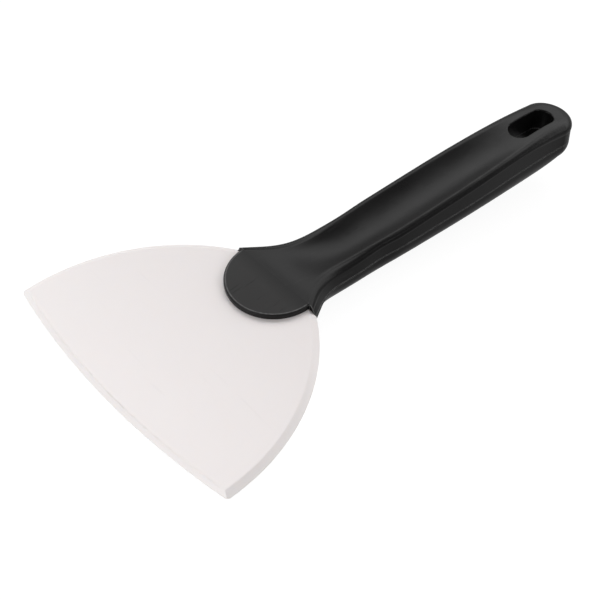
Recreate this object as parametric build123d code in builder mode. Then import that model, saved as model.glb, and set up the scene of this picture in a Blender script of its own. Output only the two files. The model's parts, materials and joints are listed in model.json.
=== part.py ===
"""Bench scraper: a white plastic fan blade held between two black handle half-shells.

The shapes are drawn in the blade's own frame: X runs from the scraping edge to the
handle end, Z is square to the blade, and Z = 0 is the blade's lower face. The finished
pieces are then tipped about Y so that the tool lies on a bench, on the middle of its
scraping edge and the belly of its handle.
"""
import os
from math import cos, hypot, radians, sin

from build123d import *

os.makedirs("parts", exist_ok=True)

# Blade
blade_width = 120.0        # across the two tips
blade_thickness = 2.0
edge_bulge = 5.6           # how far the scraping edge bows out in the middle
tip_radius = 1.6
side_sagitta = 10.9        # bow of each long side
shoulder_x = 72.6          # where the blade runs into the handle
shoulder_y = 22.9
side_bevel = 2.5
edge_bevel = 1.6
edge_thickness = 0.5
crease_radius = 1.0        # rounds the line where a bevel meets the upper face
rim_radius = 0.2
tang_half_width = 11.0
tang_end = 81.0

# Handle
rest_pitch = 9.10          # how far the tool is tipped when it lies on a bench
lobe_x = 72.4
lobe_radius = 19.1
lobe_height = 2.1          # above each face of the blade
lobe_edge_radius = 0.7
posts = ((60.0, 0.0), (70.0, 10.0), (70.0, -10.0))
post_radius = 2.5
post_top = 3.2
peg_stations = (124.0, 156.0, 188.0)
peg_radius = 1.8
peg_height = 3.0
boss_radius = 3.4
boss_root = 0.4            # how far a boss runs into the hollow's roof or floor
fit_gap = 0.1              # round a post or peg in its hole
seam_lift = 0.8            # the seam runs just above the widest line of the handle
nose_x = 228.6             # centre of the rounded end
nose_tilt = 11.0
handle_tilt = 4.4          # slope of the handle against the blade
hollow_width = 16.4
hollow_roof = ((104.0, -5.6), (205.0, -10.2))
hollow_floor = ((205.0, -25.2), (104.0, -14.2))

# Hanging slot
slot_x = 218.9
slot_z = -6.6
slot_half_length = 7.5
slot_radius = 5.0

# Cross-sections along the handle:
# x, crest half width, crest height, depth of the thumb trough,
# widest half width, its height, belly height
sections = (
    (shoulder_x, 18.0, 4.1, 0.02, 23.0, -0.4, -2.5),
    (79.0, 13.1, 3.5, 0.15, 18.6, -2.8, -6.4),
    (87.0, 9.9, 1.9, 1.0, 14.4, -5.2, -12.4),
    (97.0, 9.0, 0.0, 2.0, 12.7, -7.5, -16.3),
    (109.0, 9.3, -1.1, 2.5, 12.2, -9.0, -18.3),
    (124.0, 9.9, -1.9, 2.6, 12.4, -10.2, -20.0),
    (142.0, 10.2, -2.7, 2.6, 12.7, -11.6, -22.0),
    (162.0, 10.2, -3.5, 2.6, 12.8, -13.2, -24.2),
    (182.0, 9.9, -4.3, 2.3, 12.6, -14.7, -26.4),
    (200.0, 9.2, -5.2, 1.2, 12.2, -16.0, -28.4),
    (214.0, 8.3, -6.1, 0.05, 12.0, -17.2, -29.4),
    (nose_x, 6.8, -8.0, 0.02, 12.2, -18.7, -27.6),
)
lead_in = (66.0, 23.0, 4.1, 0.02, 28.6, 0.9, -1.6)   # guides the flare, then is cut away
crest_drop = 2.4           # height of the rounded shoulder under each crest
end_softening = 0.12       # the shoulder grows rounder towards the handle end
rim_in = 0.75              # rounded rim between the trough and the shoulder
rim_out = 0.65
groove_depth = 0.5         # fine groove along the seam, cut in the lower shell
groove_height = 0.35


def outline_points(section):
    """Points down one side of a cross-section, from the trough's rim to the belly."""
    x, crest_w, crest_z, dip, wide_w, wide_z, belly_z = section
    drop = min(crest_drop + end_softening * max(0, x - 205), 0.45 * (crest_z - wide_z))
    lean = (wide_w - crest_w) * min(0.85, 0.62 + 0.012 * (x - shoulder_x))
    flat_w = wide_w * 0.5
    return {
        "rim_start": (crest_w - rim_in, crest_z - 0.075 * dip),
        "rim_top": (crest_w, crest_z - 0.01),
        "rim_end": (crest_w + rim_out, crest_z - 0.14),
        "round": (crest_w + rim_out + (lean - rim_out) * 0.8, crest_z - 0.14 - 0.3 * drop),
        "shoulder": (crest_w + lean, crest_z - drop),
        "wide": (wide_w, wide_z),
        "flank": (flat_w + (wide_w - flat_w) * 0.8, wide_z + (belly_z - wide_z) * 0.62),
        "belly": (flat_w, belly_z),
    }


def section_plane(section, tilt=0.0):
    """Upright plane across the handle; local x runs to +Y and local y runs up."""
    x, centre_z = section[0], section[5]
    lean = radians(tilt)
    normal = (cos(lean), 0, -sin(lean))
    return Plane(origin=(x, 0, centre_z), x_dir=(0, 1, 0), z_dir=normal)


def cross_section(section, tilt=0.0, half_only=False):
    """Closed cross-section of the handle, or its +Y half for the rounded end."""
    dip = section[3]
    base = section[5]
    right = {key: (y, z - base) for key, (y, z) in outline_points(section).items()}
    left = {key: (-y, z) for key, (y, z) in right.items()}
    with BuildSketch(section_plane(section, tilt)) as profile:
        with BuildLine():
            for side in (right, left):
                ThreePointArc(side["rim_start"], side["rim_top"], side["rim_end"])
                ThreePointArc(side["rim_end"], side["round"], side["shoulder"])
                Line(side["shoulder"], side["wide"])
                ThreePointArc(side["wide"], side["flank"], side["belly"])
            Line(right["belly"], left["belly"])
            trough = (0, right["rim_top"][1] - dip)
            ThreePointArc(left["rim_start"], trough, right["rim_start"])
        make_face()
        if half_only:
            split(bisect_by=Plane.YZ, keep=Keep.TOP)
    return profile.sketch


def handle_body(inset=0.0):
    """Solid outer shape of the whole handle, or the same shape drawn in at the sides."""
    rows = [(s[0], s[1] - inset, s[2], s[3], s[4] - inset, s[5], s[6])
            for s in (lead_in, *sections)]
    with BuildPart() as solid:
        outlines = [cross_section(row) for row in rows[:-1]]
        outlines.append(cross_section(rows[-1], nose_tilt))
        loft(sections=outlines)
        hinge_plane = section_plane(rows[-1], nose_tilt)
        with BuildPart(mode=Mode.PRIVATE) as nose:
            add(cross_section(rows[-1], nose_tilt, half_only=True))
            revolve(axis=Axis(hinge_plane.origin, hinge_plane.y_dir), revolution_arc=-180)
        add(nose.part)
        with Locations((shoulder_x, 0, 0)):
            Box(20, 80, 30, align=(Align.MAX, Align.CENTER, Align.CENTER), mode=Mode.SUBTRACT)
    return solid.part


# ---------------------------------------------------------------- blade
half = blade_width / 2
side_dx = shoulder_x
side_dy = shoulder_y - half
side_length = hypot(side_dx, side_dy)
side_mid = (side_dx / 2 - side_dy / side_length * side_sagitta,
            (half + shoulder_y) / 2 + side_dx / side_length * side_sagitta)

with BuildPart() as blade:
    with BuildSketch():
        with BuildLine():
            ThreePointArc((0, -half), (-edge_bulge, 0), (0, half))
            ThreePointArc((0, half), side_mid, (shoulder_x, shoulder_y))
            Polyline((shoulder_x, shoulder_y), (shoulder_x, tang_half_width),
                     (tang_end, tang_half_width), (tang_end, -tang_half_width),
                     (shoulder_x, -tang_half_width), (shoulder_x, -shoulder_y))
            ThreePointArc((0, -half), (side_mid[0], -side_mid[1]), (shoulder_x, -shoulder_y))
        make_face()
    extrude(amount=blade_thickness)
    drop = blade_thickness - edge_thickness
    for bevel, pick in ((edge_bevel, slice(0, 1)), (side_bevel, slice(1, 3))):
        rims = blade.faces().sort_by(Axis.Z)[-1].edges().filter_by(GeomType.CIRCLE)
        for rim in rims.sort_by(Axis.X)[pick]:
            flank = [f for f in blade.faces().filter_by(GeomType.CYLINDER)
                     if (f.center() - rim.center()).length < blade_thickness][0]
            chamfer([rim], length=drop, length2=bevel, reference=flank)
    tips = blade.edges().filter_by(Axis.Z).filter_by_position(Axis.X, -1, 1)
    fillet(tips, radius=tip_radius)
    for height, radius in ((blade_thickness, crease_radius), (edge_thickness, rim_radius)):
        outline = [e for e in blade.edges().filter_by(GeomType.CIRCLE)
                   if e.length > 60 and abs(e.center().Z - height) < 0.01]
        fillet(outline, radius=radius)
    with Locations(*[(x, y, 0) for x, y in posts]):
        Cylinder(radius=post_radius + fit_gap, height=3 * blade_thickness, mode=Mode.SUBTRACT)
blade.part.label = "blade"

# ---------------------------------------------------------------- handle tools
body = handle_body()

with BuildPart() as hollow:
    with BuildSketch(Plane.XZ.offset(-hollow_width / 2)):
        with BuildLine():
            Polyline(*hollow_roof, *hollow_floor, close=True)
        make_face()
    extrude(amount=hollow_width)
    fillet(hollow.edges(), radius=2.0)


def below_seam(drop=0.0, front_x=40.0):
    """Everything under the seam, or under a copy of it lowered by drop."""
    run = [(s[0], s[5] + seam_lift - drop) for s in sections]
    last_x, last_z = run[-1]
    far_point = (last_x + 30, last_z - 30 * sin(radians(handle_tilt)))
    with BuildPart() as block:
        with BuildSketch(Plane.XZ.offset(-45)):
            with BuildLine():
                Spline(*run, far_point)
                if front_x < shoulder_x:
                    Line((front_x, run[0][1]), run[0])
                Polyline(far_point, (far_point[0], -60), (front_x, -60), (front_x, run[0][1]))
            make_face()
        extrude(amount=90)
    return block.part


with BuildPart() as seam_groove:
    add(below_seam(0.0, shoulder_x))
    add(below_seam(groove_height, shoulder_x), mode=Mode.SUBTRACT)
    add(handle_body(groove_depth), mode=Mode.SUBTRACT)

tilt = radians(handle_tilt)
slot_plane = Plane(origin=(slot_x, 0, slot_z), x_dir=(cos(tilt), 0, -sin(tilt)),
                   z_dir=(sin(tilt), 0, cos(tilt)))
with BuildPart() as slot:
    with BuildSketch(slot_plane.offset(-40)):
        SlotCenterToCenter(2 * slot_half_length, 2 * slot_radius)
    extrude(amount=60)


def lobe(z_low, z_high, outer_z):
    """Round pad on one face of the blade, cut off where the handle body takes over."""
    with BuildPart() as pad:
        with Locations((lobe_x, 0, (z_low + z_high) / 2)):
            Cylinder(radius=lobe_radius, height=z_high - z_low)
        rim = pad.edges().filter_by(GeomType.CIRCLE).filter_by_position(
            Axis.Z, outer_z - 0.01, outer_z + 0.01)
        fillet(rim, radius=lobe_edge_radius)
        with Locations((shoulder_x + 0.2, 0, 0)):
            Box(60, 60, 20, align=(Align.MIN, Align.CENTER, Align.CENTER), mode=Mode.SUBTRACT)
    return pad.part


def seam_at(x):
    """Height of the seam at x, read off between the two nearest sections."""
    for near, far in zip(sections, sections[1:]):
        if near[0] <= x <= far[0]:
            share = (x - near[0]) / (far[0] - near[0])
            return near[5] + (far[5] - near[5]) * share + seam_lift
    return sections[-1][5] + seam_lift


def height_on(line, x):
    """Height at x of the straight line through two points."""
    (near_x, near_z), (far_x, far_z) = line
    return near_z + (far_z - near_z) * (x - near_x) / (far_x - near_x)


# ---------------------------------------------------------------- upper shell
with BuildPart() as handle_upper_shell:
    add(body)
    add(lobe(blade_thickness, blade_thickness + lobe_height, blade_thickness + lobe_height))
    add(below_seam(), mode=Mode.SUBTRACT)
    add(hollow.part, mode=Mode.SUBTRACT)
    add(slot.part, mode=Mode.SUBTRACT)
    add(blade.part, mode=Mode.SUBTRACT)
    with Locations(*[(x, y, 0) for x, y in posts]):
        Cylinder(radius=post_radius + fit_gap, height=post_top + fit_gap,
                 align=(Align.CENTER, Align.CENTER, Align.MIN), mode=Mode.SUBTRACT)
    for x in peg_stations:
        with Locations((x, 0, seam_at(x))):
            Cylinder(radius=boss_radius, height=height_on(hollow_roof, x) + boss_root - seam_at(x),
                     align=(Align.CENTER, Align.CENTER, Align.MIN))
            Cylinder(radius=peg_radius + fit_gap, height=peg_height + fit_gap,
                     align=(Align.CENTER, Align.CENTER, Align.MIN), mode=Mode.SUBTRACT)
    mouth = handle_upper_shell.edges().filter_by_position(Axis.X, slot_x - 13, slot_x + 13)
    mouth = [e for e in mouth if abs(e.center().Y) < slot_radius + 0.5 and e.center().Z > slot_z - 2]
    fillet(mouth, radius=0.6)
handle_upper_shell.part.label = "handle_upper_shell"

# ---------------------------------------------------------------- lower shell
with BuildPart() as handle_lower_shell:
    add(body)
    add(lobe(-lobe_height, 0, -lobe_height))
    add(below_seam(), mode=Mode.INTERSECT)
    add(seam_groove.part, mode=Mode.SUBTRACT)
    add(hollow.part, mode=Mode.SUBTRACT)
    add(slot.part, mode=Mode.SUBTRACT)
    add(blade.part, mode=Mode.SUBTRACT)
    for x in peg_stations:
        with Locations((x, 0, seam_at(x))):
            Cylinder(radius=boss_radius, rotation=(180, 0, 0),
                     height=seam_at(x) + boss_root - height_on(hollow_floor, x),
                     align=(Align.CENTER, Align.CENTER, Align.MIN))
            Cylinder(radius=peg_radius, height=peg_height,
                     align=(Align.CENTER, Align.CENTER, Align.MIN))
    with Locations(*[(x, y, -1) for x, y in posts]):
        Cylinder(radius=post_radius, height=post_top + 1,
                 align=(Align.CENTER, Align.CENTER, Align.MIN))
handle_lower_shell.part.label = "handle_lower_shell"

# ---------------------------------------------------------------- resting on a bench
tip_up = Rot(0, -rest_pitch, 0)
corners = [piece.part.moved(tip_up).bounding_box()
           for piece in (blade, handle_upper_shell, handle_lower_shell)]
mid_x = (min(c.min.X for c in corners) + max(c.max.X for c in corners)) / 2
floor_z = min(c.min.Z for c in corners)
bench_pose = Pos(-mid_x, 0, -floor_z) * tip_up

for piece in (blade, handle_upper_shell, handle_lower_shell):
    piece.part.locate(bench_pose)

export_step(blade.part, "parts/blade.step")
export_step(handle_upper_shell.part, "parts/handle_upper_shell.step")
export_step(handle_lower_shell.part, "parts/handle_lower_shell.step")
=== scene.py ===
"""Looks of the bench scraper: materials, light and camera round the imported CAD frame."""

import json
import math

import bpy
from mathutils import Matrix, Vector


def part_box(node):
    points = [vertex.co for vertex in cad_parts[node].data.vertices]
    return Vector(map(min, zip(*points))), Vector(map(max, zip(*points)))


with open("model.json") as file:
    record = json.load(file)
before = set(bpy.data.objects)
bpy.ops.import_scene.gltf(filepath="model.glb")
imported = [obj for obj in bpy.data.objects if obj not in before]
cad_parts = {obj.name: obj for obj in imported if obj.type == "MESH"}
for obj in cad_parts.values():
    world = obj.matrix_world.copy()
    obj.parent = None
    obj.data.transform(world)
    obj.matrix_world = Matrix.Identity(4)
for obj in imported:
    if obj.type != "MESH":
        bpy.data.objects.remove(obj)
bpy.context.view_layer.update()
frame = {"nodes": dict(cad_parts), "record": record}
nodes = frame["nodes"]

# The lobe's flat top gives the blade's directions: square to it, and along it to the handle.
lobe_face = next(m for m in frame["record"]["mounts"] if m["name"] == "lobe_face")
blade_up = Vector(lobe_face["axis"])
blade_along = Vector((blade_up.z, 0.0, -blade_up.x))
blade_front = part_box("blade")[0][0] * blade_along.x
lobe_radius = 0.0191
mount_to_centre = 0.0094       # the mount stands this far in front of the lobe's centre
lobe_centre = Vector(lobe_face["pos_m"]) + mount_to_centre * blade_along
lobe_end = lobe_centre.dot(blade_along)
lobe_level = lobe_centre.dot(blade_up)


# ------------------------------------------------------------------ materials
def new_material(name):
    """A new material with its node tree and its shader node."""
    material = bpy.data.materials.new(name)
    material.use_nodes = True
    tree = material.node_tree
    shader = tree.nodes["Principled BSDF"]
    return material, tree, shader


def texture_noise(tree, coord, scale, detail=4.0, rough=0.5):
    """Noise of scale features to the metre, from 0 to 1."""
    noise = tree.nodes.new("ShaderNodeTexNoise")
    noise.inputs["Scale"].default_value = scale
    noise.inputs["Detail"].default_value = detail
    noise.inputs["Roughness"].default_value = rough
    tree.links.new(coord, noise.inputs["Vector"])
    return noise.outputs["Fac"]


def ramp(tree, value, stops):
    """Colours by value, from a list of places and colours in rising order."""
    node = tree.nodes.new("ShaderNodeValToRGB")
    elements = node.color_ramp.elements
    for element, (place, colour) in zip((elements[0], elements[1]), (stops[0], stops[-1])):
        element.position = place
        element.color = (*colour, 1.0)
    for place, colour in stops[1:-1]:
        elements.new(place).color = (*colour, 1.0)
    tree.links.new(value, node.inputs["Fac"])
    return node.outputs["Color"]


def spread(tree, value, low, high, start=0.0, end=1.0):
    """value's range from start to end stretched to low to high."""
    node = tree.nodes.new("ShaderNodeMapRange")
    node.inputs["From Min"].default_value = start
    node.inputs["From Max"].default_value = end
    node.inputs["To Min"].default_value = low
    node.inputs["To Max"].default_value = high
    tree.links.new(value, node.inputs["Value"])
    return node.outputs["Result"]


def bump(tree, height, strength, distance, below=None):
    """A bumped normal, on top of another one where below is given."""
    node = tree.nodes.new("ShaderNodeBump")
    node.inputs["Strength"].default_value = strength
    node.inputs["Distance"].default_value = distance
    tree.links.new(height, node.inputs["Height"])
    if below is not None:
        tree.links.new(below, node.inputs["Normal"])
    return node.outputs["Normal"]


def scratches(tree, coord, stretch, scale, turn=0.35):
    """Thin, long marks: a noise squeezed hard across one axis and cut to its peaks."""
    mapping = tree.nodes.new("ShaderNodeMapping")
    mapping.inputs["Scale"].default_value = stretch
    mapping.inputs["Rotation"].default_value = (0.0, 0.0, turn)
    tree.links.new(coord, mapping.inputs["Vector"])
    marks = texture_noise(tree, mapping.outputs["Vector"], scale, 3.0, 0.6)
    return spread(tree, marks, 0.0, 1.0, 0.62, 0.72)


def edge_mask(tree, radius, low, high):
    """1 where the surface turns sharply within radius, 0 where it is flat."""
    rounded = tree.nodes.new("ShaderNodeBevel")
    rounded.samples = 8
    rounded.inputs["Radius"].default_value = radius
    surface = tree.nodes.new("ShaderNodeNewGeometry")
    likeness = tree.nodes.new("ShaderNodeVectorMath")
    likeness.operation = "DOT_PRODUCT"
    tree.links.new(rounded.outputs["Normal"], likeness.inputs[0])
    tree.links.new(surface.outputs["Normal"], likeness.inputs[1])
    return spread(tree, likeness.outputs["Value"], 1.0, 0.0, 1.0 - high, 1.0 - low)


def along(tree, vector, direction):
    """How far a vector socket reaches along a fixed direction."""
    node = tree.nodes.new("ShaderNodeVectorMath")
    node.operation = "DOT_PRODUCT"
    node.inputs[1].default_value = direction
    tree.links.new(vector, node.inputs[0])
    return node.outputs["Value"]


def combine(tree, first, second, operation="MULTIPLY"):
    """Two numbers multiplied, or put together by another operation, kept from 0 to 1."""
    node = tree.nodes.new("ShaderNodeMath")
    node.operation = operation
    node.use_clamp = True
    tree.links.new(first, node.inputs[0])
    tree.links.new(second, node.inputs[1])
    return node.outputs["Value"]


def blend(tree, share, low, high):
    """Colour low where share is 0 and high where it is 1; each is a socket or a colour."""
    node = tree.nodes.new("ShaderNodeMix")
    node.data_type = "RGBA"
    tree.links.new(share, node.inputs["Factor"])
    for socket, value in ((node.inputs[6], low), (node.inputs[7], high)):
        if isinstance(value, tuple):
            socket.default_value = (*value, 1.0)
        else:
            tree.links.new(value, socket)
    return node.outputs[2]


def painted_rim_highlight(tree, coord, inner=0.0011, outer=0.0004, fade=0.0003, depth=0.001):
    """A painted highlight: a hairline on the lobe's top, from inner to outer inside its rim,
    ahead of its centre.
    """
    offset = tree.nodes.new("ShaderNodeVectorMath")
    offset.operation = "DISTANCE"
    offset.inputs[1].default_value = lobe_centre
    tree.links.new(coord, offset.inputs[0])
    radius = offset.outputs["Value"]
    past_inner = spread(tree, radius, 0.0, 1.0, lobe_radius - inner, lobe_radius - inner + fade)
    before_outer = spread(tree, radius, 1.0, 0.0, lobe_radius - outer - fade, lobe_radius - outer)
    reach = along(tree, coord, blade_along)
    ahead = spread(tree, reach, 1.0, 0.0, lobe_end - depth, lobe_end)
    level = along(tree, coord, blade_up)
    top = spread(tree, level, 0.0, 1.0, lobe_level - depth, lobe_level - 0.6 * depth)
    return combine(tree, combine(tree, past_inner, before_outer), combine(tree, ahead, top))


def handle_plastic():
    """Black moulded plastic: fine spark-eroded grain, faint scuffs, edges paler from wear and a
    painted highlight, the lobe's front painted lighter.
    """
    material, tree, shader = new_material("handle_plastic")
    coord = tree.nodes.new("ShaderNodeTexCoord").outputs["Object"]
    cloud = texture_noise(tree, coord, 45.0, 3.0)
    grain = texture_noise(tree, coord, 2200.0, 2.0)
    speckle = texture_noise(tree, coord, 900.0, 3.0, 0.7)
    scuff = scratches(tree, coord, (0.25, 3.0, 1.0), 260.0)
    # Edges paler, partly from wear and partly a painted highlight; the hairline inside the lobe's
    # rim is a painted highlight.
    edges = combine(tree, edge_mask(tree, 0.0007, 0.03, 0.1), painted_rim_highlight(tree, coord), "MAXIMUM")
    wear_and_highlight = combine(tree, edges, spread(tree, speckle, 0.45, 1.0, 0.35, 0.6))
    base = ramp(tree, cloud, [(0.3, (0.0036, 0.0034, 0.0035)), (0.7, (0.0046, 0.0044, 0.0045))])
    reach = along(tree, coord, blade_along)
    # Painted light: the lobe's front half, ahead of its centre, is painted lighter.
    lobe_painted_light = spread(tree, reach, 1.0, 0.0, lobe_end - 0.006, lobe_end + 0.001)
    painted_lighter = blend(tree, lobe_painted_light, base, (0.017, 0.0164, 0.0164))
    scuffed = blend(tree, scuff, painted_lighter, (0.0085, 0.0083, 0.0083))
    # Pale colour at the edges: wear and painted highlight.
    tree.links.new(blend(tree, wear_and_highlight, scuffed, (0.10, 0.10, 0.10)), shader.inputs["Base Color"])
    tree.links.new(spread(tree, cloud, 0.27, 0.34, 0.3, 0.7), shader.inputs["Roughness"])
    fine = bump(tree, grain, 0.3, 0.00004)
    tree.links.new(bump(tree, speckle, 0.15, 0.00008, fine), shader.inputs["Normal"])
    shader.inputs["Specular IOR Level"].default_value = 0.12
    return material


def blade_plastic(fade_length=0.075):
    """Milky white satin plastic with painted light, lighter towards its front and on its
    front-facing bevels: flow clouds, hair scratches, glow.
    """
    material, tree, shader = new_material("blade_plastic")
    coord = tree.nodes.new("ShaderNodeTexCoord").outputs["Object"]
    cloud = texture_noise(tree, coord, 22.0, 4.0)
    grain = texture_noise(tree, coord, 1500.0, 2.0)
    scratch = scratches(tree, coord, (3.0, 0.2, 1.0), 190.0)
    # Painted light: darker near the root, lighter towards the front.
    root = ramp(tree, cloud, [(0.3, (0.684, 0.648, 0.646)), (0.7, (0.698, 0.662, 0.660))])
    front = ramp(tree, cloud, [(0.3, (0.762, 0.726, 0.724)), (0.7, (0.776, 0.740, 0.738))])
    reach = along(tree, coord, blade_along)
    front_painted_light = spread(tree, reach, 1.0, 0.0, blade_front, blade_front + fade_length)
    # Painted light: bevels facing the front are painted lighter.
    normal = tree.nodes.new("ShaderNodeNewGeometry").outputs["Normal"]
    bevel_painted_light = spread(tree, along(tree, normal, -blade_along), 0.0, 1.0, 0.03, 0.35)
    # The painted front light and the painted bevel light make the lighter colour.
    painted_lighter = blend(tree, bevel_painted_light, blend(tree, front_painted_light, root, front), (0.87, 0.83, 0.825))
    marked = combine(tree, scratch, spread(tree, cloud, 0.05, 0.12))
    tree.links.new(blend(tree, marked, painted_lighter, (0.55, 0.52, 0.52)), shader.inputs["Base Color"])
    tree.links.new(spread(tree, cloud, 0.38, 0.5, 0.3, 0.7), shader.inputs["Roughness"])
    fine = bump(tree, grain, 0.15, 0.00003)
    tree.links.new(bump(tree, scratch, 0.08, 0.00004, fine), shader.inputs["Normal"])
    shader.inputs["Subsurface Weight"].default_value = 0.15
    shader.inputs["Subsurface Radius"].default_value = (0.003, 0.0025, 0.002)
    shader.inputs["Subsurface Scale"].default_value = 1.0
    return material


looks = {"blade": blade_plastic(), "handle_upper_shell": handle_plastic(),
         "handle_lower_shell": handle_plastic()}
for name, node in nodes.items():
    node.data.materials.clear()
    node.data.materials.append(looks[name])

# ------------------------------------------------------------------ floor and light
floor_size = 40.0
floor_drop = 0.0002            # keeps the floor clear of the faces that rest on it
bpy.ops.mesh.primitive_plane_add(size=floor_size, location=(0, 0, -floor_drop))
floor = bpy.context.object
floor.name = "floor"
floor_look, tree, shader = new_material("light_table")
shader.inputs["Base Color"].default_value = (0.14, 0.14, 0.14, 1)
shader.inputs["Roughness"].default_value = 0.9
shader.inputs["Specular IOR Level"].default_value = 0.0
shader.inputs["Emission Color"].default_value = (1, 1, 1, 1)
shader.inputs["Emission Strength"].default_value = 0.92
floor.data.materials.append(floor_look)
floor.visible_glossy = False   # the black handle doesn't mirror the bright floor


def softbox(name, place, target, size, power):
    """A rectangular lamp at place, turned towards target."""
    light = bpy.data.lights.new(name, "AREA")
    light.shape = "RECTANGLE"
    light.size, light.size_y = size
    light.energy = power
    lamp = bpy.data.objects.new(name, light)
    lamp.location = place
    lamp.rotation_euler = (Vector(target) - Vector(place)).to_track_quat("-Z", "Y").to_euler()
    bpy.context.scene.collection.objects.link(lamp)


softbox("left_softbox", (-1.2, 0.1, 0.55), (-0.05, 0, 0), (0.9, 0.7), 7.3)
softbox("right_softbox", (0.35, -1.2, 0.8), (0, 0, 0), (0.5, 0.5), 4.5)


def studio_dome(stops, across, strength=4.0):
    """World light that changes with the angle up from the horizon on one side, over the top,
    to the horizon on the other. stops are degrees and levels, across is the first side."""
    world = bpy.data.worlds.new("studio")
    bpy.context.scene.world = world
    world.use_nodes = True
    tree = world.node_tree
    direction = tree.nodes.new("ShaderNodeTexCoord").outputs["Generated"]
    angle = tree.nodes.new("ShaderNodeMath")
    angle.operation = "ARCTAN2"
    tree.links.new(along(tree, direction, (0, 0, 1)), angle.inputs[0])
    level_way = (math.cos(across), math.sin(across), 0)
    tree.links.new(along(tree, direction, level_way), angle.inputs[1])
    share = tree.nodes.new("ShaderNodeMath")
    share.operation = "DIVIDE"
    share.inputs[1].default_value = math.pi
    tree.links.new(angle.outputs[0], share.inputs[0])
    brightness = ramp(tree, share.outputs[0],
                      [(degrees / 180, (level / strength,) * 3) for degrees, level in stops])
    background = tree.nodes["Background"]
    tree.links.new(brightness, background.inputs["Color"])
    background.inputs["Strength"].default_value = strength


studio_dome([(0, 0.45), (22, 0.5), (38, 3.3), (56, 3.2), (66, 0.5), (90, 0.3), (115, 0.12),
             (140, 0.06), (180, 0.2)], math.radians(42.0))

# ------------------------------------------------------------------ camera
camera_data = bpy.data.cameras.new("camera")
camera_data.sensor_width = 36.0
camera_data.lens = 69.64
camera = bpy.data.objects.new("camera", camera_data)
bpy.context.scene.collection.objects.link(camera)
place = Vector((-0.27699, -0.22369, 0.30377))
aim = Vector((-0.04466, -0.01233, 0.01258))
roll = math.radians(8.236)
turn = (aim - place).to_track_quat("-Z", "Y").to_matrix() @ Matrix.Rotation(roll, 3, "Z")
camera.matrix_world = Matrix.Translation(place) @ turn.to_4x4()
bpy.context.scene.camera = camera
bpy.context.scene.view_settings.view_transform = "Standard"
